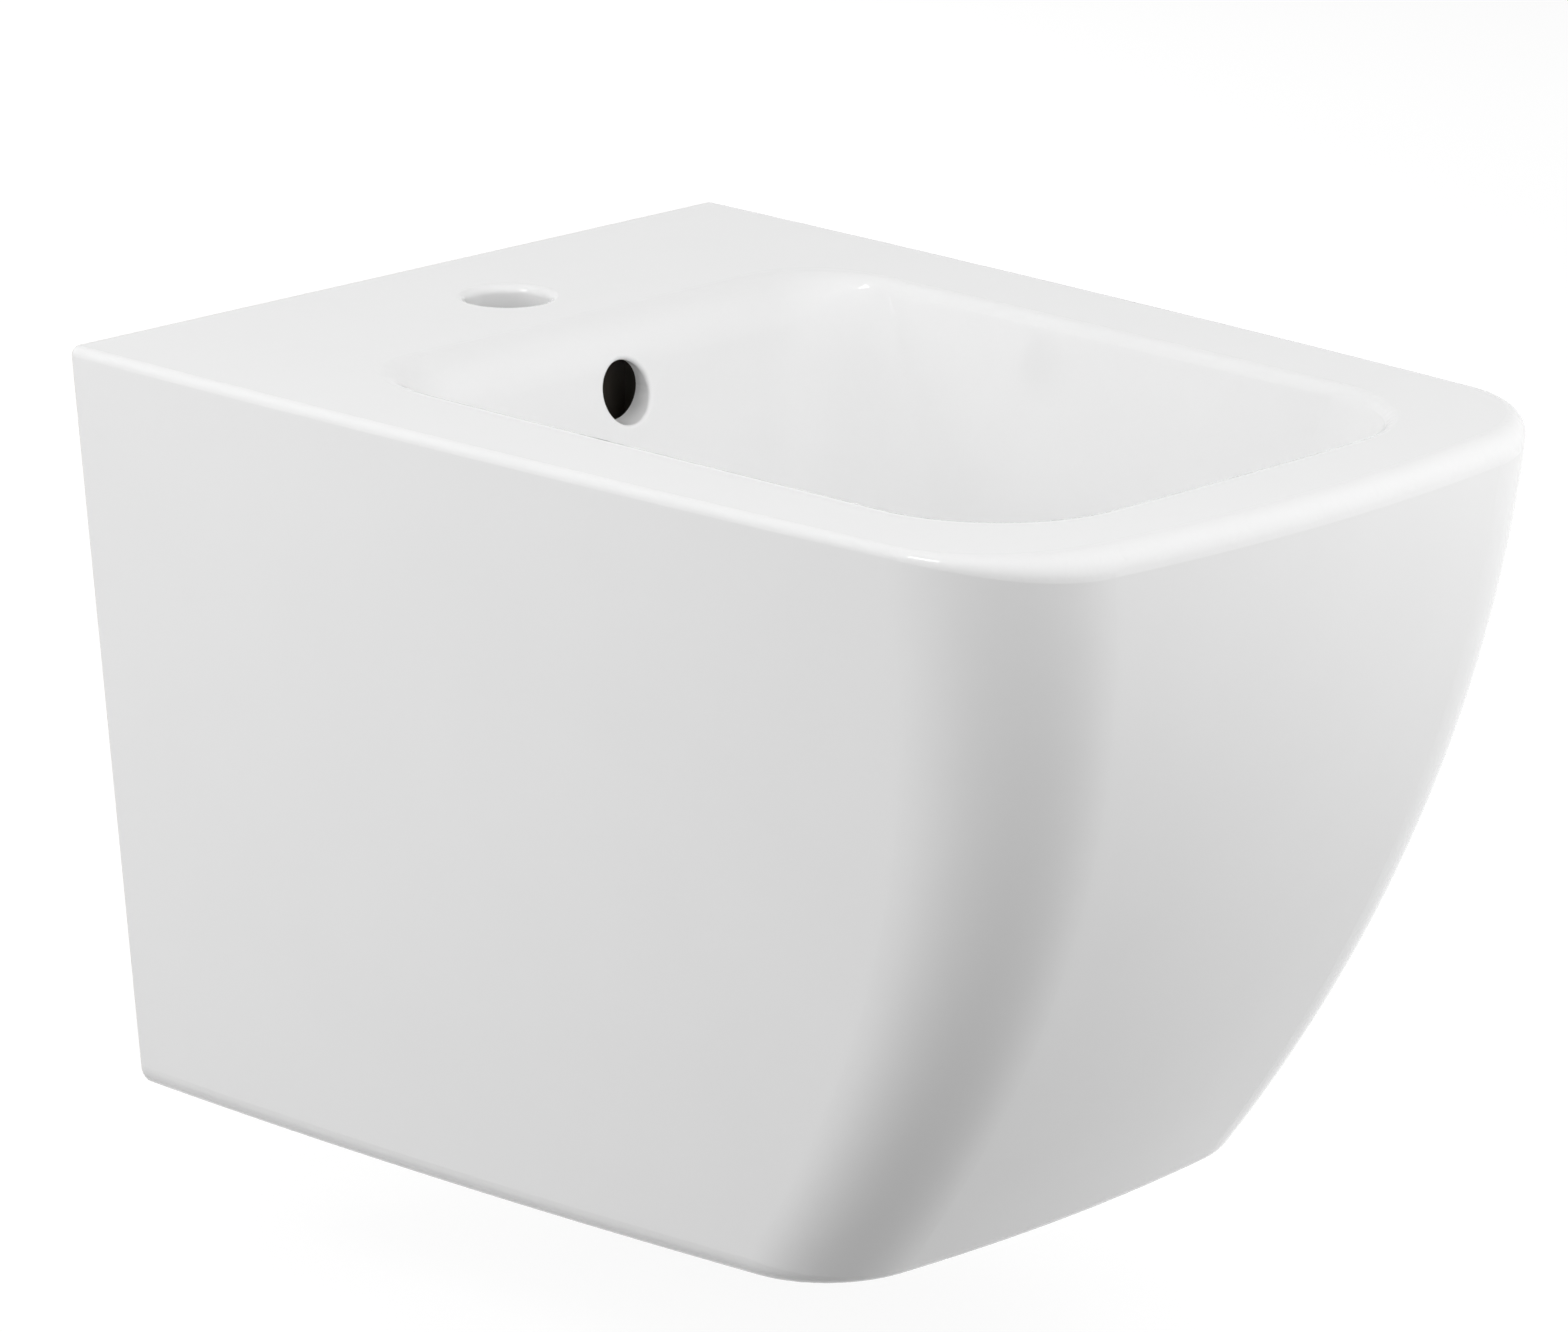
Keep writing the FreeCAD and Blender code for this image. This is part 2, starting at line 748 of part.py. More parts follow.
liner = turned(
    "fixing_liner",
    [
        ("screw_dia / 2 + slide_gap", SOCKET_LOW + " - liner_lip"),
        ("liner_flange / 2", SOCKET_LOW + " - liner_lip"),
        ("liner_flange / 2", SOCKET_LOW),
        ("liner_bore / 2 - screw_gap", SOCKET_LOW),
        ("liner_bore / 2 - screw_gap", SOCKET_LOW + " + socket_skin * 0.8"),
        ("screw_dia / 2 + slide_gap", SOCKET_LOW + " + socket_skin * 0.8"),
    ],
    PULL,
)
pair("fixing_liners", liner)
HEAD = "(-socket_bore / 2 - socket_skin - liner_lip)"
TIP = "(-stud_bore / 2 - thread_wall - screw_point)"
screw = turned(
    "fixing_screw",
    [
        ("0", HEAD + " - screw_head_high"),
        ("screw_head / 2", HEAD + " - screw_head_high"),
        ("screw_head / 2", HEAD),
        ("screw_dia / 2", HEAD),
        ("screw_dia / 2", TIP + " - screw_point"),
        ("screw_dia / 2 - screw_point", TIP),
        ("0", TIP),
    ],
    PULL,
)


def hexagon(body, name, flats, level, length, kind, flip=False):
    """A six-sided pad or pocket of a width across its flats."""
    points = []
    for i in range(6):
        turn = math.radians(60 * i)
        spot = (math.cos(turn) / math.sqrt(3), math.sin(turn) / math.sqrt(3))
        points.append(tuple("%s * %.9f" % (flats, way) for way in spot))
    sketch = polygon(new_sketch(body, name + "_plan", "XY_Plane", level), points)
    feature = body.newObject("PartDesign::" + kind, name)
    feature.Profile = sketch
    bind(feature, "Length", length)
    feature.Reversed = flip
    doc.recompute()
    return feature


HEAD_END = HEAD + " - screw_head_high"
hexagon(screw, "screw_key_hole", "screw_key", HEAD_END, "screw_head_high * 0.7", "Pocket", True)
pair("fixing_screws", screw)

# Push-to-open waste: the flanged body with its overflow slots and spider
WASTE = ("0", "-waste_set", "0")
RECESS = "(fix_drop - bowl_depth - waste_recess_drop)"
LIP_LOW = "(fix_drop - bowl_depth - waste_recess_drop + seal_thick)"
LIP_TOP = "(fix_drop - bowl_depth - waste_recess_drop + seal_thick + flange_lip)"
TAIL_END = "(fix_drop - bowl_depth - waste_recess_drop + seal_thick - tail_length)"
SPIDER = "(fix_drop - bowl_depth - waste_recess_drop + seal_thick + flange_lip - spider_drop)"
TAIL = "tail_dia / 2"
waste = turned(
    "waste_body",
    [
        ("funnel_dia / 2", LIP_TOP),
        ("flange_dia / 2 - flange_lip / 2", LIP_TOP),
        ("flange_dia / 2", LIP_TOP + " - flange_lip / 2"),
        ("flange_dia / 2", LIP_LOW),
        (TAIL, LIP_LOW),
        (TAIL, TAIL_END),
        ("tail_bore / 2", TAIL_END),
        ("tail_bore / 2", LIP_TOP + " - funnel_drop"),
    ],
    WASTE,
)
solid_step(
    waste,
    "SubtractiveBox",
    "overflow_slots",
    {"Length": "slot_width", "Width": "tail_dia * 1.2", "Height": "slot_high"},
    ("-slot_width / 2", "-tail_dia * 0.6", DUCT_LOW + " - slot_high / 2"),
)
solid_step(
    waste,
    "AdditiveCylinder",
    "spider_hub",
    {"Radius": "hub_dia / 2", "Height": "spider_thick"},
    ("0", "0", SPIDER + " - spider_thick"),
)
LONG, SHORT = "tail_bore + (tail_dia - tail_bore) / 2", "spider_arm"
for name, long_way, wide_way in (("spider_cross", LONG, SHORT), ("spider_bar", SHORT, LONG)):
    solid_step(
        waste,
        "AdditiveBox",
        name,
        {"Length": long_way, "Width": wide_way, "Height": "spider_thick"},
        ("-(%s) / 2" % long_way, "-(%s) / 2" % wide_way, SPIDER + " - spider_thick"),
    )
solid_step(
    waste,
    "SubtractiveCylinder",
    "spider_hole",
    {"Radius": "spigot_dia / 2 + screw_gap", "Height": "spider_thick * 3"},
    ("0", "0", SPIDER + " - spider_thick * 2"),
)

# Push-to-open waste: its seals and back nut
ring("waste_flange_seal", TAIL + " + slide_gap", "flange_dia / 2 - seal_inset", RECESS, LIP_LOW, WASTE)
SEALED = "(fix_drop - bowl_depth - waste_boss - under_seal_thick)"
turned(
    "waste_under_seal",
    [
        (TAIL + " + screw_gap", THROAT),
        ("waste_bore / 2 + under_seal_lap", THROAT),
        ("waste_bore / 2 + under_seal_lap / 2", SEALED),
        (TAIL + " + screw_gap", SEALED),
    ],
    WASTE,
)
THRUST = SEALED + " - thrust_thick"
ring("waste_thrust_ring", TAIL + " + screw_gap", "waste_bore / 2 + thrust_lap", THRUST, SEALED, WASTE)
back_nut = new_body("waste_back_nut")
NUT_LOW = THRUST + " - nut_high"
hexagon(back_nut, "back_nut_hex", "nut_flats", NUT_LOW, "nut_high", "Pad")
solid_step(
    back_nut,
    "SubtractiveCylinder",
    "back_nut_thread",
    {"Radius": TAIL + " + screw_gap", "Height": "nut_high * 3"},
    ("0", "0", NUT_LOW + " - nut_high"),
)
place(back_nut, WASTE)

# Push-to-open waste: the plug, its latch and spring, drawn with the plug down
LATCH_TOP = "(%s + latch_high)" % SPIDER
SHELF = "(%s + latch_high - latch_lip)" % SPIDER
LATCH_END = "(%s - spider_thick)" % SPIDER
turned(
    "latch_housing",
    [
        ("stem_dia / 2 + slide_gap", LATCH_TOP),
        ("latch_dia / 2", LATCH_TOP),
        ("latch_dia / 2", SPIDER),
        ("spigot_dia / 2", SPIDER),
        ("spigot_dia / 2", LATCH_END),
        ("latch_bore / 2", LATCH_END),
        ("latch_bore / 2", SHELF),
        ("stem_dia / 2 + slide_gap", SHELF),
    ],
    WASTE,
)
turned(
    "latch_end_cap",
    [
        ("0", LATCH_END + " + latch_lip"),
        ("latch_bore / 2 - screw_gap", LATCH_END + " + latch_lip"),
        ("latch_bore / 2 - screw_gap", LATCH_END),
        ("spigot_dia / 2 + end_cap_lap", LATCH_END),
        ("spigot_dia / 2 + end_cap_lap", LATCH_END + " - latch_lip"),
        ("0", LATCH_END + " - latch_lip"),
    ],
    WASTE,
)
COLLAR_UP = "(%s - plug_travel - slide_gap)" % SHELF
COLLAR_DOWN = "(%s - plug_travel - slide_gap - stem_collar)" % SHELF
ROTOR_DOWN = "(%s - plug_travel - slide_gap * 2 - stem_collar - rotor_high)" % SHELF
CAP_LOW = "(%s + cap_lift)" % LIP_TOP
RUNNER = "(latch_bore / 2 - slide_gap)"
turned(
    "plug_stem",
    [
        ("0", ROTOR_DOWN),
        ("pivot_dia / 2", ROTOR_DOWN),
        ("pivot_dia / 2", COLLAR_DOWN),
        (RUNNER, COLLAR_DOWN),
        (RUNNER, COLLAR_UP),
        ("stem_dia / 2", COLLAR_UP),
        ("stem_dia / 2", CAP_LOW),
        ("0", CAP_LOW),
    ],
    WASTE,
)
ring("latch_rotor", "pivot_dia / 2 + screw_gap", RUNNER, ROTOR_DOWN, COLLAR_DOWN + " - slide_gap", WASTE)
cap = turned(
    "plug_cap",
    [
        ("0", CAP_LOW + " + cap_thick"),
        ("cap_dia / 2", CAP_LOW + " + cap_thick"),
        ("cap_dia / 2", CAP_LOW),
        ("cap_boss / 2", CAP_LOW),
        ("cap_boss / 2", CAP_LOW + " - plug_seal_thick"),
        ("cap_socket / 2", CAP_LOW + " - plug_seal_thick"),
        ("cap_socket / 2", CAP_LOW + " - cap_socket_drop"),
        ("stem_dia / 2", CAP_LOW + " - cap_socket_drop"),
        ("stem_dia / 2", CAP_LOW),
        ("0", CAP_LOW),
    ],
    WASTE,
)
round_edges(cap, "cap_dome", "cap_round", level_edge(CAP_LOW + " + cap_thick"))
SEAL_LOW = "(%s - plug_seal_thick)" % CAP_LOW
SUNK = "(plug_seal_thick - cap_lift)"
CONE = "(funnel_dia / 2 - %s / funnel_drop * (funnel_dia - tail_bore) / 2 - slide_gap)" % SUNK
ring("plug_seal", "cap_boss / 2", CONE, SEAL_LOW, CAP_LOW, WASTE)

# Push-to-open waste: the latch spring between the end cap and the rotor
low = value(LATCH_END + " + latch_lip + spring_wire / 2")
high = value(ROTOR_DOWN + " - spring_wire / 2")
coil = value("latch_bore / 2 - slide_gap * 2 - spring_wire / 2")
helix = Part.makeHelix((high - low) / value("spring_turns"), high - low, coil)
section = Part.Circle(FreeCAD.Vector(coil, 0, 0), FreeCAD.Vector(0, 1, 0), value("spring_wire / 2"))
wire = Part.Wire([section.toShape()])
spring = doc.addObject("Part::Feature", "latch_spring")
spring.Shape = Part.Wire(helix.Edges).makePipeShell([wire], True, True)
spring.Placement = FreeCAD.Placement(FreeCAD.Vector(0, -value("waste_set"), low), FreeCAD.Rotation())

# Bottle trap: the inlet union and the dip tube
UNION_RIBS = 12
CUP_RIBS = 16
PIPE = "pipe_dia / 2"
BORE = "(pipe_dia / 2 - pipe_wall)"
COLLAR_TOP = "(%s - union_seal)" % TAIL_END
COLLAR_LOW = "(%s - union_seal - collar_thick)" % TAIL_END
UNION_LOW = "(%s - union_seal - collar_thick - union_lip)" % TAIL_END
UNION_TOP = "(%s - union_seal - collar_thick - union_lip + union_high)" % TAIL_END
union = turned(
    "trap_inlet_nut",
    [
        (TAIL + " + screw_gap", UNION_TOP),
        ("union_dia / 2", UNION_TOP),
        ("union_dia / 2", UNION_LOW),
        (PIPE + " + slide_gap", UNION_LOW),
        (PIPE + " + slide_gap", COLLAR_LOW),
        (TAIL + " + screw_gap", COLLAR_LOW),
    ],
    WASTE,
)
grip_ribs(union, "union_dia / 2", UNION_LOW + " + union_lip", UNION_TOP + " - union_lip", UNION_RIBS)
ring("trap_inlet_seal", BORE, TAIL + " - screw_gap", COLLAR_TOP, TAIL_END, WASTE)
turned(
    "trap_dip_tube",
    [
        (BORE, COLLAR_TOP),
        (TAIL + " - screw_gap", COLLAR_TOP),
        (TAIL + " - screw_gap", COLLAR_LOW),
        (PIPE, COLLAR_LOW),
        (PIPE, COLLAR_TOP + " - dip_reach"),
        (BORE, COLLAR_TOP + " - dip_reach"),
    ],
    WASTE,
)

# Bottle trap: the head with its outlet branch, and the cup below
HEAD_TOP = "(%s - trap_gap)" % UNION_LOW
HEAD_LOW = "(%s - trap_gap - trap_high)" % UNION_LOW
trap = turned(
    "trap_head",
    [
        (PIPE + " + screw_gap", HEAD_TOP + " + trap_wall"),
        (PIPE + " + neck_wall", HEAD_TOP + " + trap_wall"),
        (PIPE + " + neck_wall", HEAD_TOP),
        ("trap_dia / 2", HEAD_TOP),
        ("trap_dia / 2", HEAD_LOW),
        ("trap_dia / 2 - trap_wall", HEAD_LOW),
        ("trap_dia / 2 - trap_wall", HEAD_TOP + " - trap_wall"),
        (PIPE + " + screw_gap", HEAD_TOP + " - trap_wall"),
    ],
    WASTE,
)
BRANCH = HEAD_TOP + " - branch_drop"
OUT = "(trap_dia / 2 - trap_wall * 2)"
solid_step(
    trap,
    "AdditiveCylinder",
    "branch_form",
    {"Radius": TAIL, "Height": "branch_reach - " + OUT},
    ("0", OUT, BRANCH),
    TO_WALL,
)
solid_step(
    trap,
    "SubtractiveCylinder",
    "branch_bore",
    {"Radius": PIPE + " + screw_gap", "Height": "branch_reach - %s + trap_wall" % OUT},
    ("0", OUT + " - trap_wall", BRANCH),
    TO_WALL,
)
solid_step(
    trap,
    "SubtractiveCylinder",
    "head_space",
    {"Radius": "trap_dia / 2 - trap_wall", "Height": "trap_high - trap_wall"},
    ("0", "0", HEAD_LOW),
)
CUP_TOP = "(%s + cup_lap)" % HEAD_LOW
CUP_STEP = "(%s - union_seal)" % HEAD_LOW
CUP_LOW = "(%s + cup_lap - cup_high)" % HEAD_LOW
CUP = "(trap_dia / 2 + screw_gap)"
cup = turned(
    "trap_cup",
    [
        (CUP, CUP_TOP),
        ("cup_dia / 2", CUP_TOP),
        ("cup_dia / 2", CUP_TOP + " - cup_grip"),
        ("trap_dia / 2", CUP_TOP + " - cup_grip"),
        ("trap_dia / 2", CUP_LOW),
        ("0", CUP_LOW),
        ("0", CUP_LOW + " + trap_wall"),
        ("trap_dia / 2 - trap_wall", CUP_LOW + " + trap_wall"),
        ("trap_dia / 2 - trap_wall", CUP_STEP),
        (CUP, CUP_STEP),
    ],
    WASTE,
)
round_edges(
    cup,
    "cup_bottom",
    "cup_round",
    lambda e: all(near(v.Z, value(CUP_LOW)) and v.X > value("trap_wall") for v in e.Vertexes),
)
grip_ribs(cup, "cup_dia / 2", CUP_TOP + " - cup_grip + union_lip", CUP_TOP + " - union_lip", CUP_RIBS)
ring("trap_cup_seal", "trap_dia / 2 - trap_wall", "trap_dia / 2 - screw_gap", CUP_STEP, HEAD_LOW, WASTE)

# Bottle trap: the outlet union and the pipe to the wall
OUTLET = ("0", "-waste_set", BRANCH)
NUT_END = "(branch_reach + branch_seal + union_lip)"
outlet_nut = turned(
    "trap_outlet_nut",
    [
        (TAIL + " + screw_gap", "branch_reach - branch_lap"),
        ("union_dia / 2", "branch_reach - branch_lap"),
        ("union_dia / 2", NUT_END),
        (PIPE + " + slide_gap", NUT_END),
        (PIPE + " + slide_gap", "branch_reach + branch_seal"),
        (TAIL + " + screw_gap", "branch_reach + branch_seal"),
    ],
    OUTLET,
    TO_WALL,
)
RIB_START = "branch_reach - branch_lap + union_lip"
grip_ribs(outlet_nut, "union_dia / 2", RIB_START, "branch_reach + branch_seal", UNION_RIBS)
ring(
    "trap_outlet_seal",
    PIPE + " + screw_gap",
    TAIL + " - screw_gap",
    "branch_reach",
    "branch_reach + branch_seal",
    OUTLET,
    TO_WALL,
)
STOP = NUT_END + " + slide_gap"
turned(
    "trap_outlet_pipe",
    [
        (BORE, "branch_reach - branch_lap"),
        (PIPE, "branch_reach - branch_lap"),
        (PIPE, STOP),
        (PIPE + " + stop_lip", STOP),
        (PIPE + " + stop_lip", STOP + " + collar_thick"),
        (PIPE, STOP + " + collar_thick"),
        (PIPE, "waste_set"),
        (BORE, "waste_set"),
    ],
    OUTLET,
    TO_WALL,
)
doc.recompute()

# Every sub-part is written to its own file after a check of the whole document
NODES = (
    "ceramic_body",
    "fixing_blocks",
    "fixing_liners",
    "fixing_screws",
    "waste_body",
    "waste_flange_seal",
    "waste_under_seal",
    "waste_thrust_ring",
    "waste_back_nut",
    "plug_cap",
    "plug_seal",
    "plug_stem",
    "latch_housing",
    "latch_end_cap",
    "latch_rotor",
    "latch_spring",
    "trap_inlet_nut",
    "trap_inlet_seal",
    "trap_dip_tube",
    "trap_head",
    "trap_cup",
    "trap_cup_seal",
    "trap_outlet_nut",
    "trap_outlet_seal",
    "trap_outlet_pipe",
)
for thing in doc.Objects:
    if "Invalid" in thing.State or "Error" in thing.State:
        raise RuntimeError("%s is not built: %s" % (thing.Label, thing.State))
os.makedirs("parts", exist_ok=True)
for label in NODES:
    shape = doc.getObjectsByLabel(label)[0].Shape
    if shape.isNull() or not shape.isValid():
        raise RuntimeError("%s has no valid shape" % label)
    shape.exportStep("parts/%s.step" % label)
    print("%s: %d solid, %.1f cm3" % (label, len(shape.Solids), shape.Volume / 1000))
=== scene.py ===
import json
import math

import bpy
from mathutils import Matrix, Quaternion, Vector


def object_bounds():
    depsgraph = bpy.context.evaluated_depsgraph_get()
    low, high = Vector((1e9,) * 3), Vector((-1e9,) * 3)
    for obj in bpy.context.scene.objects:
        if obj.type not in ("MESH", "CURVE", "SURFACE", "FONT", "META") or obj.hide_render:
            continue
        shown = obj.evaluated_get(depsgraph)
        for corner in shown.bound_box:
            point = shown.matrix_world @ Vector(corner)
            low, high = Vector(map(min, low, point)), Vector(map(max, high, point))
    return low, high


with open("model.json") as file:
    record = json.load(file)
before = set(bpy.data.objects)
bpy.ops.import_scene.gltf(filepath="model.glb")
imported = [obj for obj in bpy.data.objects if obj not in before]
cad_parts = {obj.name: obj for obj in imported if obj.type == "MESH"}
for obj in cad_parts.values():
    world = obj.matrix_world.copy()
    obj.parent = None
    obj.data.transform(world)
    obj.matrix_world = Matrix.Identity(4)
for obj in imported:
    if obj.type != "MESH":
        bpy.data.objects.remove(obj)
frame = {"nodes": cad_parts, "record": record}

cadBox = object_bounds()
nodes = frame["nodes"]
millimetre = 0.001
print("frame:", len(nodes), "nodes")


# shared helpers

def linear(hexColour):  # sRGB hex to the linear colour that shaders read
    channels = [int(hexColour[i:i + 2], 16) / 255 for i in (1, 3, 5)]
    return tuple(c / 12.92 if c <= 0.04045 else ((c + 0.055) / 1.055) ** 2.4 for c in channels) + (1.0,)


def addNode(tree, kind, settings=None, inputs=None):  # a socket as a value becomes a link
    node = tree.nodes.new("ShaderNode" + kind)
    for name, value in (settings or {}).items():
        setattr(node, name, value)
    for name, value in (inputs or {}).items():
        if isinstance(value, bpy.types.NodeSocket):
            tree.links.new(value, node.inputs[name])
        else:
            node.inputs[name].default_value = value
    return node


def newMaterial(name, fixed):  # fixed holds the values that are the same all over the surface
    material = bpy.data.materials.new(name)
    material.use_nodes = True
    tree = material.node_tree
    shader = tree.nodes["Principled BSDF"]
    for socket, value in fixed.items():
        shader.inputs[socket].default_value = value
    place = addNode(tree, "TexCoord").outputs["Object"]
    return material, tree, shader, place


def linkSurface(tree, shader, surface):  # what changes over the surface
    for socket, output in surface.items():
        tree.links.new(output, shader.inputs[socket])


def perMetre(size):  # texture scale for a feature of this many millimetres
    return 1.0 / (size * millimetre)


def patches(place, pattern):  # noise inputs from a pattern's size in millimetres and its detail
    size, detail = pattern
    return {"Vector": place, "Scale": perMetre(size), "Detail": detail}


def relief(height, bump):  # bump inputs from its strength and its depth in millimetres
    strength, depth = bump
    return {"Height": height, "Strength": strength, "Distance": depth * millimetre}


# glazed vitreous china: a white glaze, fired glossy over a pale clay that shows where it was ground

chinaLook = {
    "glaze": "#f3f3f3",
    "glazeThin": "#f0f0f0",
    "clay": "#d9d2c4",
    "clayGrit": "#c8bfae",
    # painted shade: the overflow duct's clay is drawn this dark for the shade inside the hole
    "paintedDuctShade": "#57524b",
    "ior": 1.52,
    "gloss": (0.055, 0.10),
    "clayRough": 0.85,
    "cloud": (70.0, 2.0),       # slow change in glaze thickness
    "ripple": (14.0, 1.0),      # the slight orange peel of a poured glaze
    "grit": (0.9, 3.0),         # drawn coarser than real grit so that it shows
    "peel": (0.03, 0.4),
    "groundDepth": 0.1,         # mm of the back that the grinding left bare
    "groundEdge": (-0.7, -0.4),  # shares of that depth over which the glaze gives way to clay
    "ductFace": -120.2,         # mm, the duct's front side, which no glaze reached
    "ductHalf": 20.3,           # mm to each side of the middle
    "ductBack": -106.2,         # mm, the duct's back side
    "ductTop": 61.0,            # mm above the wall fixings
    "ductLow": -50.0,           # mm, where the duct starts its bend
}


def glazedChina():
    look = chinaLook
    material, tree, shader, place = newMaterial("glazedVitreousChina", {"IOR": look["ior"]})
    cloud = addNode(tree, "TexNoise", inputs=patches(place, look["cloud"]))
    ripple = addNode(tree, "TexNoise", inputs=patches(place, look["ripple"]))
    grit = addNode(tree, "TexNoise", inputs=patches(place, look["grit"]))
    glaze = addNode(tree, "Mix", {"data_type": "RGBA"},
                    {0: cloud.outputs[0], 6: linear(look["glaze"]), 7: linear(look["glazeThin"])})
    clay = addNode(tree, "Mix", {"data_type": "RGBA"},
                   {0: grit.outputs[0], 6: linear(look["clay"]), 7: linear(look["clayGrit"])})
    # the wall face is bare clay, with a line of glaze that wanders a little
    depth = addNode(tree, "SeparateXYZ", inputs={0: place})
    ground = look["groundDepth"] * millimetre
    wander = addNode(tree, "Math", {"operation": "MULTIPLY_ADD"},
                     {0: ripple.outputs[0], 1: ground, 2: depth.outputs["Y"]})
    bare = addNode(tree, "MapRange", inputs={
        "Value": wander.outputs[0],
        "From Min": look["groundEdge"][0] * ground, "From Max": look["groundEdge"][1] * ground})
    dry = addNode(tree, "Mix", {"data_type": "RGBA"},
                  {0: bare.outputs[0], 6: glaze.outputs[2], 7: clay.outputs[2]})
    # the overflow duct is bare clay too, drawn dark as painted shade for the little light that reaches inside
    # it
    aside = addNode(tree, "Math", {"operation": "ABSOLUTE"}, {0: depth.outputs["X"]})
    limits = ((aside.outputs[0], "LESS_THAN", look["ductHalf"]),
              (depth.outputs["Y"], "GREATER_THAN", look["ductFace"]),
              (depth.outputs["Y"], "LESS_THAN", look["ductBack"]),
              (depth.outputs["Z"], "LESS_THAN", look["ductTop"]),
              (depth.outputs["Z"], "GREATER_THAN", look["ductLow"]))
    duct = None
    for measure, test, edge in limits:
        side = addNode(tree, "Math", {"operation": test}, {0: measure, 1: edge * millimetre}).outputs[0]
        if duct is None:
            duct = side
        else:
            duct = addNode(tree, "Math", {"operation": "MULTIPLY"}, {0: duct, 1: side}).outputs[0]
    # painted shade: the duct takes the dark colour in place of the glaze or clay
    colour = addNode(tree, "Mix", {"data_type": "RGBA"},
                     {0: duct, 6: dry.outputs[2], 7: linear(look["paintedDuctShade"])})
    gloss = addNode(tree, "MapRange", inputs={
        "Value": cloud.outputs[0], "To Min": look["gloss"][0], "To Max": look["gloss"][1]})
    rough = addNode(tree, "Mix", {"data_type": "FLOAT"},
                    {0: bare.outputs[0], 2: gloss.outputs[0], 3: look["clayRough"]})
    peel = addNode(tree, "Bump", inputs=relief(ripple.outputs[0], look["peel"]))
    linkSurface(tree, shader, {
        "Base Color": colour.outputs[2], "Roughness": rough.outputs[0], "Normal": peel.outputs[0]})
    return material


# chromed brass: mirror plate with a few dried water marks

chromeLook = {
    "plate": "#c9ccd0",
    "gloss": (0.04, 0.16),
    "marks": (9.0, 4.0),
    "markEdge": (0.45, 0.75),  # noise levels over which a mark starts and is full
}


def chromedBrass():
    look = chromeLook
    material, tree, shader, place = newMaterial(
        "chromedBrass", {"Metallic": 1.0, "Base Color": linear(look["plate"])})
    marks = addNode(tree, "TexNoise", inputs=patches(place, look["marks"]))
    rough = addNode(tree, "MapRange", inputs={
        "Value": marks.outputs[0], "From Min": look["markEdge"][0], "From Max": look["markEdge"][1],
        "To Min": look["gloss"][0], "To Max": look["gloss"][1]})
    linkSurface(tree, shader, {"Roughness": rough.outputs[0]})
    return material


# machined brass: rings from the lathe tool, dulled in patches

brassLook = {
    "bright": "#cfae62",
    "dull": "#a98542",
    "rough": (0.22, 0.5),
    "stain": (16.0, 5.0),
    "cutPitch": 0.8,           # mm from ring to ring
    "cutWander": 0.3,
    "cut": (0.15, 0.05),
}
waveStep = 2 * math.pi / 20  # a wave texture at scale 1 has a band each time it goes this far


def machinedBrass():
    look = brassLook
    material, tree, shader, place = newMaterial("machinedBrass", {"Metallic": 1.0})
    stain = addNode(tree, "TexNoise", inputs=patches(place, look["stain"]))
    cut = addNode(tree, "TexWave", {"bands_direction": "Z"}, {
        "Vector": place, "Scale": perMetre(look["cutPitch"]) * waveStep, "Distortion": look["cutWander"]})
    colour = addNode(tree, "Mix", {"data_type": "RGBA"},
                     {0: stain.outputs[0], 6: linear(look["bright"]), 7: linear(look["dull"])})
    rough = addNode(tree, "MapRange", inputs={
        "Value": stain.outputs[0], "To Min": look["rough"][0], "To Max": look["rough"][1]})
    lines = addNode(tree, "Bump", inputs=relief(cut.outputs["Fac"], look["cut"]))
    linkSurface(tree, shader, {
        "Base Color": colour.outputs[2], "Roughness": rough.outputs[0], "Normal": lines.outputs[0]})
    return material


# moulded plastics: polypropylene for the trap, nylon for the liners, acetal for the latch; a spark-eroded
# mould gives them a fine skin, and the melt leaves slow flow marks

plasticLooks = {
    "white_polypropylene": {
        "name": "mouldedPolypropylene", "light": "#eceae4", "dark": "#dfdcd3", "rough": (0.36, 0.5)},
    "nylon": {"name": "mouldedNylon", "light": "#dcd6c6", "dark": "#cdc5b1", "rough": (0.42, 0.58)},
    "acetal": {"name": "mouldedAcetal", "light": "#e6e6e2", "dark": "#d6d6d0", "rough": (0.3, 0.42)},
}
mouldLook = {"ior": 1.49, "flow": (24.0, 3.0), "spark": (0.6, 2.0), "skin": (0.12, 0.06)}


def mouldedPlastic(look):
    material, tree, shader, place = newMaterial(look["name"], {"IOR": mouldLook["ior"]})
    flow = addNode(tree, "TexNoise", inputs=patches(place, mouldLook["flow"]))
    spark = addNode(tree, "TexNoise", inputs=patches(place, mouldLook["spark"]))
    colour = addNode(tree, "Mix", {"data_type": "RGBA"},
                     {0: flow.outputs[0], 6: linear(look["light"]), 7: linear(look["dark"])})
    rough = addNode(tree, "MapRange", inputs={
        "Value": spark.outputs[0], "To Min": look["rough"][0], "To Max": look["rough"][1]})
    skin = addNode(tree, "Bump", inputs=relief(spark.outputs[0], mouldLook["skin"]))
    linkSurface(tree, shader, {
        "Base Color": colour.outputs[2], "Roughness": rough.outputs[0], "Normal": skin.outputs[0]})
    return material


# EPDM rubber: black, with the bloom that greys it in patches

rubberLook = {
    "black": "#1c1c1d",
    "bloomed": "#33322f",
    "ior": 1.5,
    "rough": (0.6, 0.8),
    "bloom": (11.0, 4.0),
    "grain": (0.5, 2.0),
    "skin": (0.25, 0.08),
}


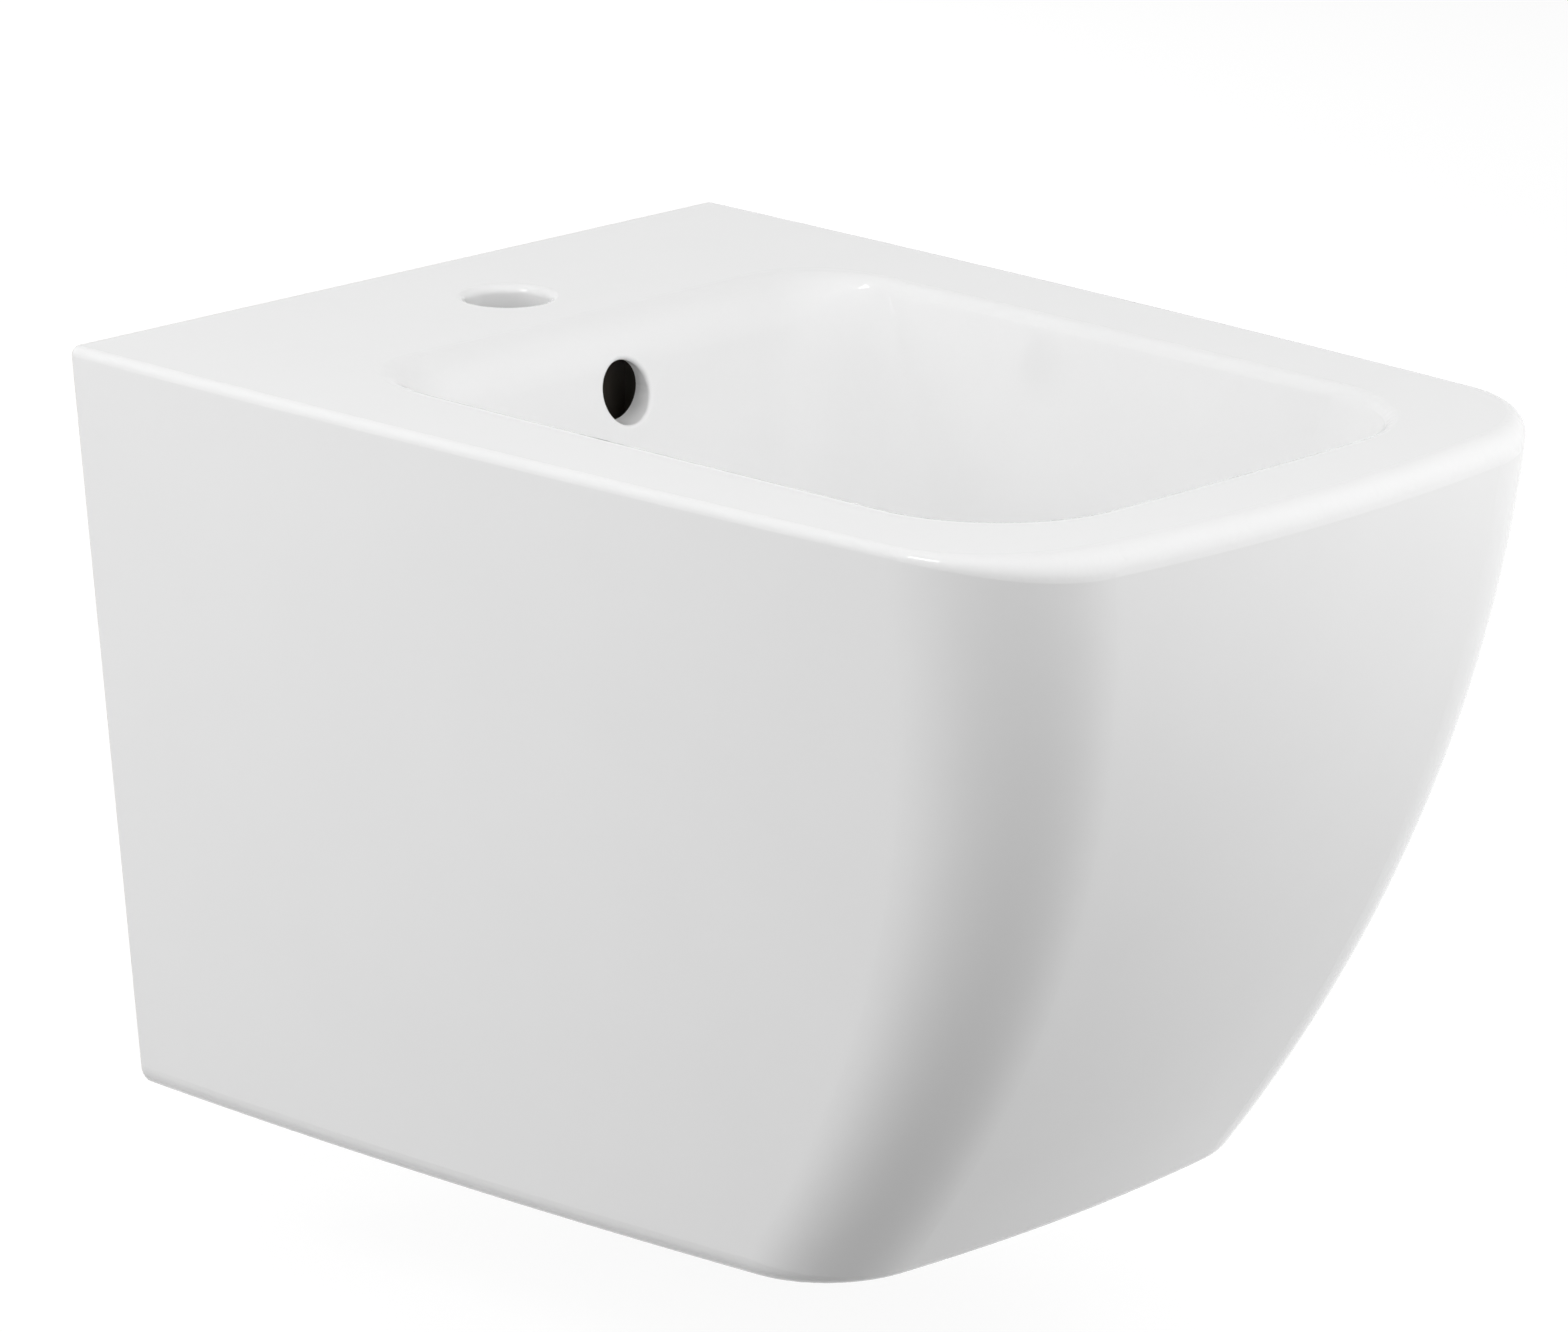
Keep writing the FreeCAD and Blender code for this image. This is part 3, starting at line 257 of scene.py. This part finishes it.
def mouldedRubber():
    look = rubberLook
    material, tree, shader, place = newMaterial("mouldedRubber", {"IOR": look["ior"]})
    bloom = addNode(tree, "TexNoise", inputs=patches(place, look["bloom"]))
    grain = addNode(tree, "TexNoise", inputs=patches(place, look["grain"]))
    colour = addNode(tree, "Mix", {"data_type": "RGBA"},
                     {0: bloom.outputs[0], 6: linear(look["black"]), 7: linear(look["bloomed"])})
    rough = addNode(tree, "MapRange", inputs={
        "Value": bloom.outputs[0], "To Min": look["rough"][0], "To Max": look["rough"][1]})
    skin = addNode(tree, "Bump", inputs=relief(grain.outputs[0], look["skin"]))
    linkSurface(tree, shader, {
        "Base Color": colour.outputs[2], "Roughness": rough.outputs[0], "Normal": skin.outputs[0]})
    return material


# grey metals: die-cast zinc with its flow lines, zinc plate with its faint blue and gold, drawn spring wire

metalLooks = {
    "cast_zinc": {"name": "castZinc", "light": "#a9abac", "dark": "#8f9193", "rough": (0.42, 0.62),
                  "flow": (7.0, 5.0), "skin": (0.3, 0.1)},
    "zinc_plated_steel": {"name": "zincPlatedSteel", "light": "#b9bec4", "dark": "#b5ad93",
                          "rough": (0.24, 0.38), "flow": (12.0, 5.0), "skin": (0.1, 0.1)},
    "spring_steel": {"name": "drawnSpringSteel", "light": "#a3a5a8", "dark": "#85878a",
                     "rough": (0.25, 0.4), "flow": (3.0, 5.0), "skin": (0.1, 0.1)},
}


def greyMetal(look):
    material, tree, shader, place = newMaterial(look["name"], {"Metallic": 1.0})
    flow = addNode(tree, "TexNoise", inputs=patches(place, look["flow"]))
    colour = addNode(tree, "Mix", {"data_type": "RGBA"},
                     {0: flow.outputs[0], 6: linear(look["light"]), 7: linear(look["dark"])})
    rough = addNode(tree, "MapRange", inputs={
        "Value": flow.outputs[0], "To Min": look["rough"][0], "To Max": look["rough"][1]})
    skin = addNode(tree, "Bump", inputs=relief(flow.outputs[0], look["skin"]))
    linkSurface(tree, shader, {
        "Base Color": colour.outputs[2], "Roughness": rough.outputs[0], "Normal": skin.outputs[0]})
    return material


finishes = {"glazed_china": glazedChina(), "chromed_brass": chromedBrass(), "raw_brass": machinedBrass(),
            "black_rubber": mouldedRubber()}
finishes.update({slot: mouldedPlastic(look) for slot, look in plasticLooks.items()})
finishes.update({slot: greyMetal(look) for slot, look in metalLooks.items()})
for part in frame["record"]["subparts"]:
    for materialSlot in nodes[part["node"]].material_slots:
        materialSlot.material = finishes[part["material_slot"]]
print("finishes:", len(finishes))


# stage: a pale floor below the wall-hung body, and a white room

stageLook = {
    "floorDrop": 0.085,
    "floorSize": 40.0,
    "floor": "#707070",
    "floorGlow": 0.90,     # as the camera and reflections see it
    "floorBounce": 0.10,   # what it throws up at the body
    "room": 1.0,           # as the camera and reflections see it
    "ambient": 0.05,       # what the room throws at the body
}
white = (1, 1, 1, 1)


def whiteRays(tree):  # camera, glossy and transmission rays see the white background
    path = addNode(tree, "LightPath")
    seen = addNode(tree, "Math", {"operation": "MAXIMUM"},
                   {0: path.outputs["Is Camera Ray"], 1: path.outputs["Is Glossy Ray"]})
    return addNode(tree, "Math", {"operation": "MAXIMUM"},
                   {0: seen.outputs[0], 1: path.outputs["Is Transmission Ray"]}).outputs[0]


def paleFloor():
    look = stageLook
    bpy.ops.mesh.primitive_plane_add(
        size=look["floorSize"], location=(0, 0, cadBox[0].z - look["floorDrop"]))
    floor = bpy.context.object
    floor.name = "floor"
    material = bpy.data.materials.new("paleFloor")
    material.use_nodes = True
    tree = material.node_tree
    tree.nodes.clear()
    matt = addNode(tree, "BsdfDiffuse", inputs={"Color": linear(look["floor"])})
    strength = addNode(tree, "MapRange", inputs={
        "Value": whiteRays(tree), "To Min": look["floorBounce"], "To Max": look["floorGlow"]})
    glow = addNode(tree, "Emission", inputs={"Color": white, "Strength": strength.outputs[0]})
    lit = addNode(tree, "AddShader", inputs={0: matt.outputs[0], 1: glow.outputs[0]})
    clear = addNode(tree, "BsdfTransparent")
    side = addNode(tree, "NewGeometry")  # the floor is not there when seen from below
    both = addNode(tree, "MixShader", inputs={
        0: side.outputs["Backfacing"], 1: lit.outputs[0], 2: clear.outputs[0]})
    addNode(tree, "OutputMaterial", inputs={"Surface": both.outputs[0]})
    floor.data.materials.append(material)


def whiteRoom():
    look = stageLook
    world = bpy.data.worlds.new("whiteRoom")
    world.use_nodes = True
    tree = world.node_tree
    strength = addNode(tree, "MapRange", inputs={
        "Value": whiteRays(tree), "To Min": look["ambient"], "To Max": look["room"]})
    back = tree.nodes["Background"]
    back.inputs["Color"].default_value = white
    tree.links.new(strength.outputs[0], back.inputs["Strength"])
    bpy.context.scene.world = world


paleFloor()
whiteRoom()
print("stage: floor and room")


# lamps: large soft boxes, named for where they stand as the camera sees the body; the glaze mirrors the white
# room, and only the lamp with a glint, as specks

aim = Vector((0.0, -0.25, -0.06))
lampsAway = 2.6
lamps = {
    "leftSide": {"towards": (-1.0, 0.5, 0.2), "size": (2.4, 2.4), "power": 42.5},
    "overLeft": {"towards": (-0.8, 0.0, 0.8), "size": (3.0, 3.0), "power": 19.5},
    "overFront": {"towards": (0.3, -0.7, 0.7), "size": (3.0, 3.0), "power": 38.5},
    "midFront": {"towards": (0.1, -0.85, 0.5), "size": (3.0, 3.0), "power": 18.5},
    "behind": {"towards": (0.35, 1.0, 0.3), "size": (2.4, 2.4), "power": 31.0},
    "lowRight": {"towards": (0.7, -0.7, 0.03), "size": (2.4, 0.7), "power": 24.0},
    "leftWindow": {"towards": (-0.76, 0.07, 0.64), "size": (0.85, 0.5), "power": 11.0, "glint": True},
}
for name, look in lamps.items():
    lamp = bpy.data.lights.new(name, "AREA")
    lamp.shape = "RECTANGLE"
    lamp.size, lamp.size_y = look["size"]
    lamp.energy = look["power"]
    holder = bpy.data.objects.new(name, lamp)
    holder.visible_glossy = look.get("glint", False)
    direction = Vector(look["towards"]).normalized()
    holder.location = aim + direction * lampsAway
    holder.rotation_euler = (-direction).to_track_quat("-Z", "Y").to_euler()
    bpy.context.scene.collection.objects.link(holder)
print("lamps:", len(lamps))


# camera: a long lens, over the near left corner

cameraLook = {
    "place": (-2.0277, -2.1677, 0.7934),
    "aim": (-0.0258, -0.2406, -0.0363),
    "roll": 0.329,    # degrees
    "lens": 171.07,   # mm
    "sensor": 36.0,   # mm
}
camera = bpy.data.cameras.new("camera")
camera.lens = cameraLook["lens"]
camera.sensor_width = cameraLook["sensor"]
cameraHolder = bpy.data.objects.new("camera", camera)
cameraHolder.location = cameraLook["place"]
gaze = (Vector(cameraLook["aim"]) - Vector(cameraLook["place"])).to_track_quat("-Z", "Y")
cameraHolder.rotation_mode = "QUATERNION"
cameraHolder.rotation_quaternion = gaze @ Quaternion((0, 0, 1), math.radians(cameraLook["roll"]))
bpy.context.scene.collection.objects.link(cameraHolder)
bpy.context.scene.camera = cameraHolder
bpy.context.scene.view_settings.view_transform = "Standard"
